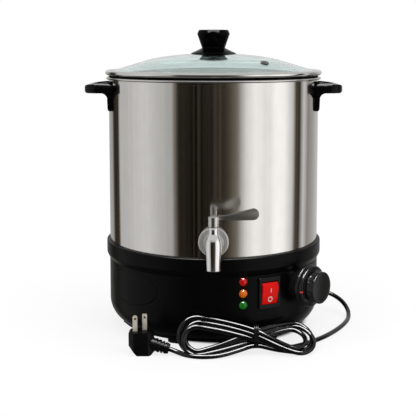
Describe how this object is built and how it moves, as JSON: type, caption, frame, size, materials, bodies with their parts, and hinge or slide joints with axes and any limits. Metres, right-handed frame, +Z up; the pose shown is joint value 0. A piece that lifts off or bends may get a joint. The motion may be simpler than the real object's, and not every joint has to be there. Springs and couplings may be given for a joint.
{
  "type": "candle wax melter",
  "caption": "Free-standing electric wax melter: double-walled steel pot with domed glass lid, side handles, drain spigot, dial, rocker switch, pilot lamps and tied mains cord.",
  "frame": {"origin": "on the resting surface, under the middle of the outline without the cord", "axes": "+Z up; -Y is the front, where the spigot is; +X is to the right as seen from the front"},
  "size_m": [0.3993, 0.366, 0.44],
  "materials": {
    "band_steel": "polished rolled band",
    "base_black": "satin moulded",
    "blade_brass": "nickel plated",
    "bulb_copper": "copper",
    "clamp_steel": "plain sheet",
    "cord_black": "glossy vinyl sheath",
    "cutout_black": "thermoset",
    "dial_black": "glossy moulded",
    "element_steel": "dull oxidised sheath",
    "eyelet_steel": "polished",
    "foot_rubber": "matt",
    "gasket": "translucent silicone",
    "handle_black": "glossy moulded",
    "insulation": "mineral wool felt",
    "knob_black": "glossy moulded",
    "lens_green": "translucent lens",
    "lens_orange": "translucent lens",
    "lens_red": "translucent lens",
    "lid_glass": "clear with a green tint",
    "mark_red": "red insert",
    "plate_black": "black enamel",
    "plug_black": "moulded vinyl",
    "pot_steel": "satin inside, polished rolled rim",
    "rocker_red": "bright red",
    "screw_zinc": "zinc plated",
    "shell_steel": "fine upright brushing, bright",
    "spigot_steel": "bright satin",
    "spreader_aluminium": "machined",
    "switch_black": "satin gloss",
    "terminal_brass": "plain",
    "terminal_white": "ceramic white",
    "thermostat_steel": "plated",
    "tie_black": "coated wire",
    "valve_brass": "machined"
  },
  "bodies": {
    "melter": {"base_housing": "base_black", "base_plate": "plate_black", "clamp_screws": "screw_zinc", "collar_ring": "base_black", "cord_gland": "cord_black", "cord_hank": "cord_black", "cord_lead": "cord_black", "cord_tail": "cord_black", "cord_tie": "tie_black", "dial_bezel": "base_black", "element_clamp": "clamp_steel", "feet": "foot_rubber", "handle_left": "handle_black", "handle_right": "handle_black", "handle_screws": "screw_zinc", "heat_shield": "clamp_steel", "heat_spreader": "spreader_aluminium", "heating_element": "element_steel", "inlet_nut": "spigot_steel", "inlet_seal": "gasket", "inner_pot": "pot_steel", "insulation_sleeve": "insulation", "lamp_clips": "clamp_steel", "lamp_green": "lens_green", "lamp_orange": "lens_orange", "lamp_red": "lens_red", "outer_shell": "shell_steel", "plate_screws": "screw_zinc", "plug_blades": "blade_brass", "plug_body": "plug_black", "sensor_bulb": "bulb_copper", "shield_standoffs": "clamp_steel", "spigot_body": "spigot_steel", "spigot_bonnet": "spigot_steel", "spigot_flange": "spigot_steel", "spigot_seal": "gasket", "switch_housing": "switch_black", "switch_terminals": "terminal_brass", "terminal_block": "terminal_white", "thermal_cutout": "cutout_black", "thermostat_body": "thermostat_steel"},
    "lid": {"lid_glass": "lid_glass", "lid_band": "band_steel", "lid_knob": "knob_black", "knob_washer": "screw_zinc", "knob_screw": "screw_zinc", "vent_eyelet": "eyelet_steel"},
    "spigot_key": {"spigot_lever": "spigot_steel", "spigot_valve": "valve_brass", "lever_screw": "spigot_steel"},
    "dial": {"dial_knob": "dial_black", "dial_mark": "mark_red", "thermostat_shaft": "thermostat_steel"},
    "rocker": {"switch_rocker": "rocker_red"}
  },
  "joints": [
    {"name": "lid_lift", "type": "slide", "parent": "melter", "child": "lid", "axis": [0, 0, 1], "range_m": [0, 0.15]},
    {"name": "spigot_turn", "type": "hinge", "parent": "melter", "child": "spigot_key", "pos_m": [0, -0.172, 0.19], "axis": [0, 0, -1], "range_deg": [0, 90]},
    {"name": "dial_turn", "type": "hinge", "parent": "melter", "child": "dial", "pos_m": [0.14551, -0.10017, 0.0805], "axis": [-0.7659, 0.643, 0], "range_deg": [0, 270]},
    {"name": "rocker_tilt", "type": "hinge", "parent": "melter", "child": "rocker", "pos_m": [0.07599, -0.11287, 0.0767], "axis": [-0.8712, -0.4909, 0], "range_deg": [0, 20]}
  ]
}
